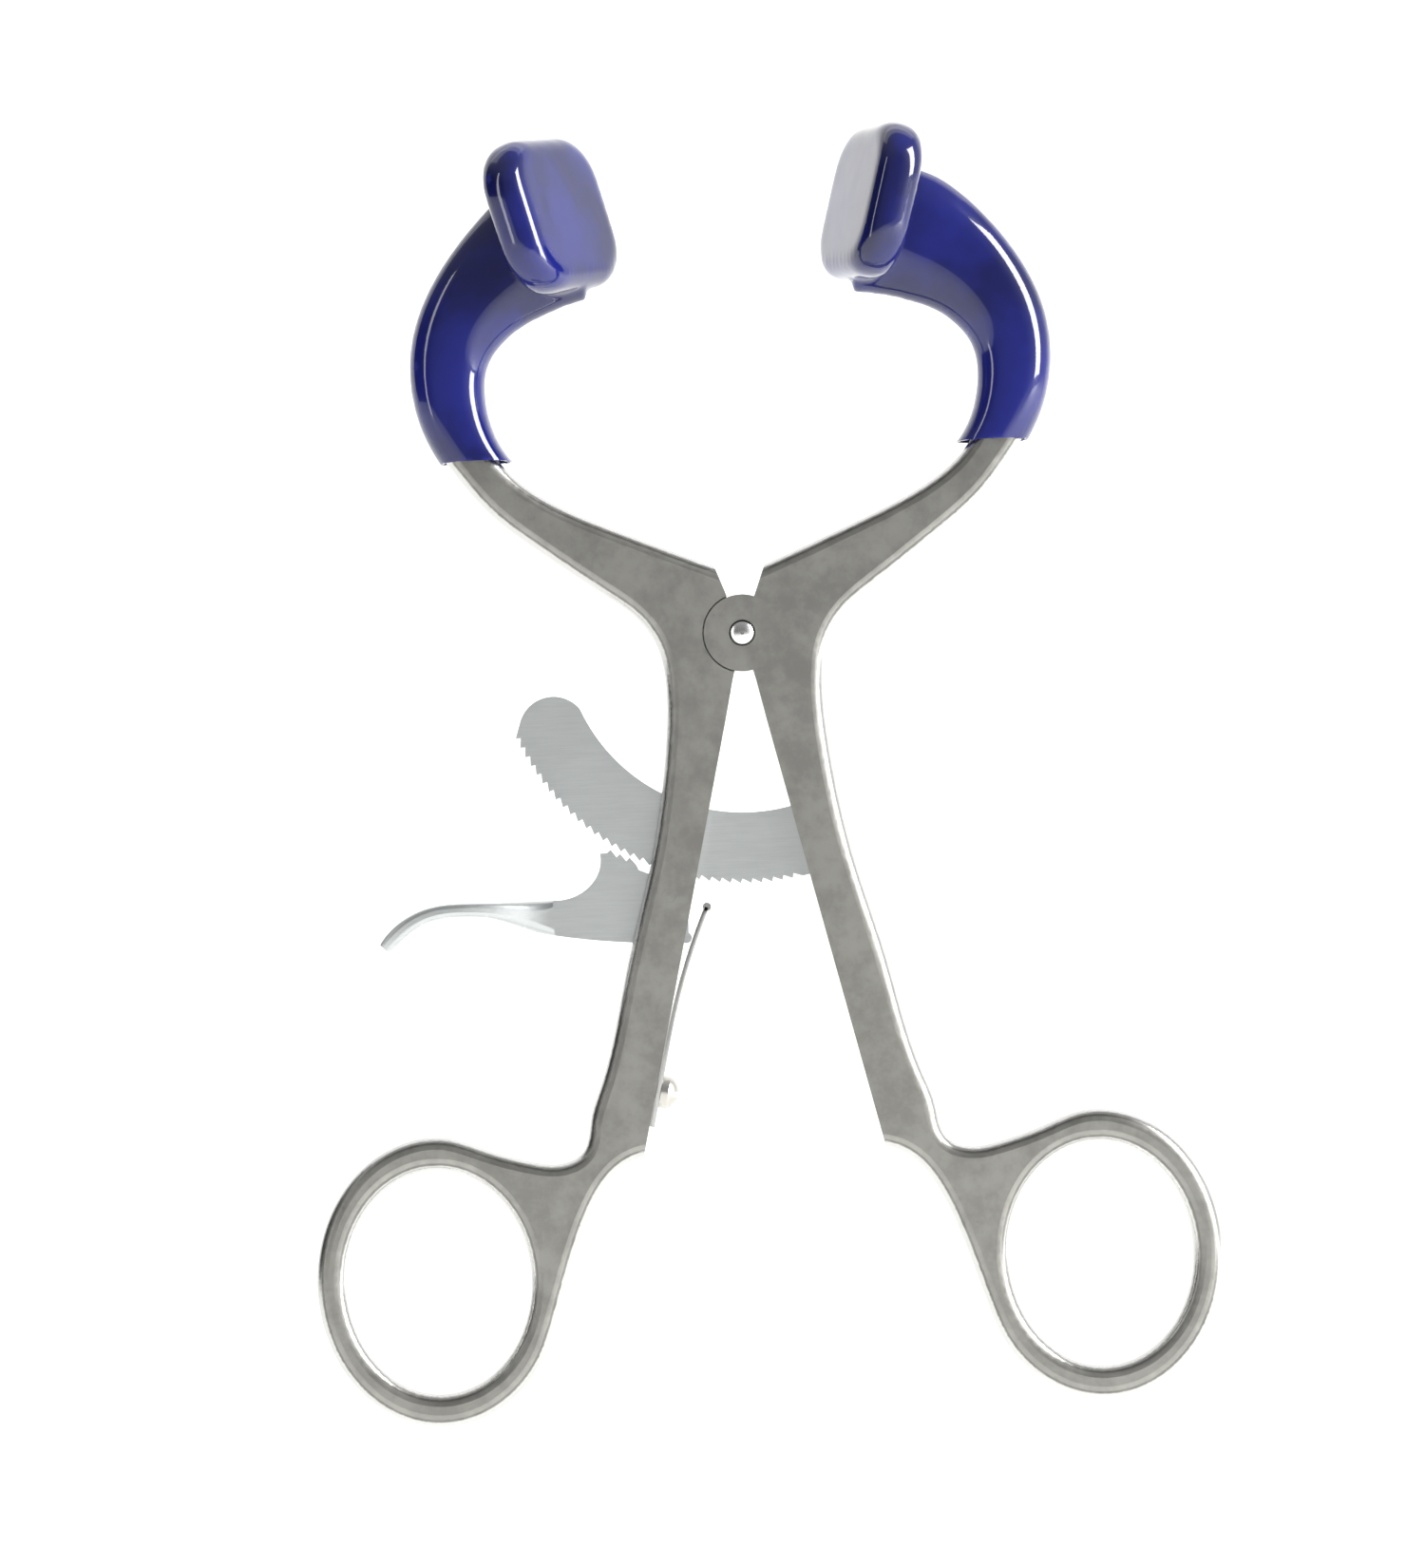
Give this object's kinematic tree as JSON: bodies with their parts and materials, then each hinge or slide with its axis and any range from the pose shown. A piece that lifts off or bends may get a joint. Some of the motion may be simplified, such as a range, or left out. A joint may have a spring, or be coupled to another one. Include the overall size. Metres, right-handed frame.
{
  "type": "ratcheted mouth gag",
  "caption": "Ring-handled dental mouth gag and cheek retractor: squeezing the rings spreads two padded jaws, and a curved rack with a release lever holds them open.",
  "frame": {"origin": "centre of the left finger ring's hole, at the middle of the arm's thickness, with the jaws as far open as the picture shows", "axes": "+Z from the finger rings to the jaws, +X from the left ring to the right ring, -Y is the front"},
  "size_m": [0.0974, 0.0192, 0.1386],
  "materials": {
    "satin_steel": "satin, with polished rounded edges",
    "rack_steel": "fine ground, slightly bluish",
    "polished_pin": "polished",
    "spring_steel": "bright rolled strip",
    "blue_cover": "very glossy moulded soft plastic"
  },
  "bodies": {
    "left_half": {"left_arm": "satin_steel", "left_jaw_cover": "blue_cover", "hinge_pin": "polished_pin", "lever_pin": "satin_steel", "leaf_spring": "spring_steel", "spring_screw": "satin_steel"},
    "right_half": {"right_arm": "satin_steel", "right_jaw_cover": "blue_cover", "ratchet_rack": "rack_steel", "rack_pins": "polished_pin"},
    "lever": {"release_lever": "rack_steel"}
  },
  "joints": [
    {"name": "hinge", "type": "hinge", "parent": "left_half", "child": "right_half", "pos_m": [0.0356, 0, 0.0683], "axis": [0, 1, 0], "range_deg": [-26.4, 21.6]},
    {"name": "lever_pivot", "type": "hinge", "parent": "left_half", "child": "lever", "pos_m": [0.0265, 0, 0.0404], "axis": [0, -1, 0], "range_deg": [-6, 5], "stiffness_Nm_per_rad": 0.02, "springref_deg": -22.92, "deforming": ["leaf_spring"]}
  ]
}
